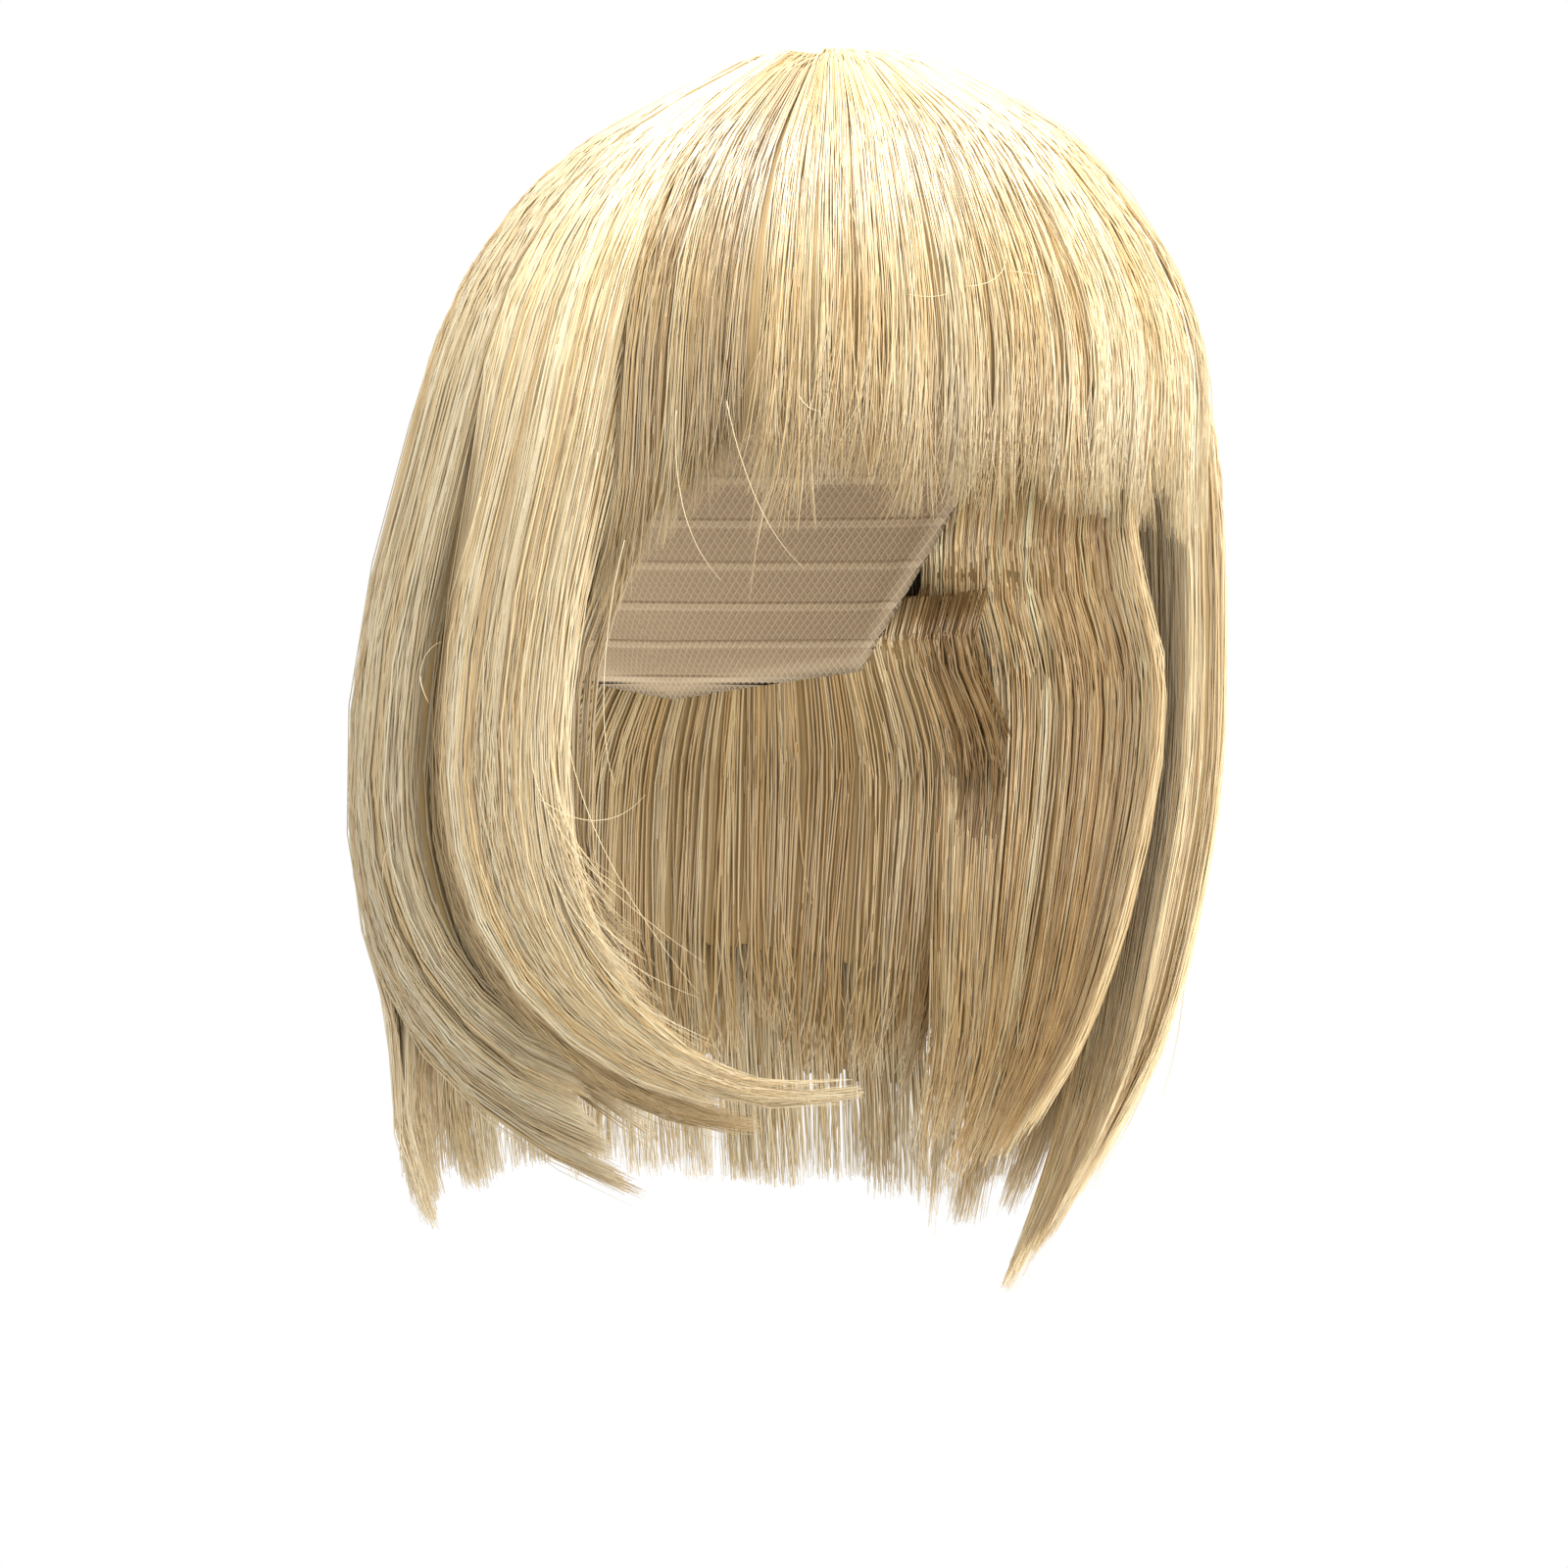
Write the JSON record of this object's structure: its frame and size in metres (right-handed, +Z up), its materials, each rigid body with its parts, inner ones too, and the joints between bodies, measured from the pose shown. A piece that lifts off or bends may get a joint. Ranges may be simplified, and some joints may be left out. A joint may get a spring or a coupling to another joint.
{
  "type": "bob wig with a straight fringe",
  "caption": "A blonde bob wig with a straight fringe: locks of straight hair that fall from a whorl at the crown over a thin cap, curl forward at the sides, and hang free below.",
  "frame": {"origin": "the top of the wearer's head, inside the cap's crown, where the wig sits", "axes": "+Z is up, the wearer faces -Y, and the wearer's left is +X"},
  "size_m": [0.2132, 0.2437, 0.3055],
  "materials": {
    "hair": "straight satin synthetic hair, light blonde",
    "hair_shaded": "straight synthetic hair, a deeper blonde",
    "cap_net": "fine matt net"
  },
  "bodies": {
    "root": {"cap": "cap_net", "fringe_lock_right": "hair", "fringe_lock_centre": "hair", "fringe_lock_left": "hair", "temple_lock_right": "hair", "temple_lock_left": "hair", "side_lock_right_middle": "hair", "side_lock_right_front": "hair", "rear_lock_right": "hair", "side_lock_left_front": "hair", "side_lock_left_middle": "hair", "rear_lock_left": "hair", "back_lock_left": "hair", "back_lock_centre_left": "hair", "back_lock_centre_right": "hair", "back_lock_right": "hair", "under_layer_right": "hair_shaded", "under_layer_left": "hair_shaded", "nape_layer": "hair_shaded"}
  },
  "joints": []
}
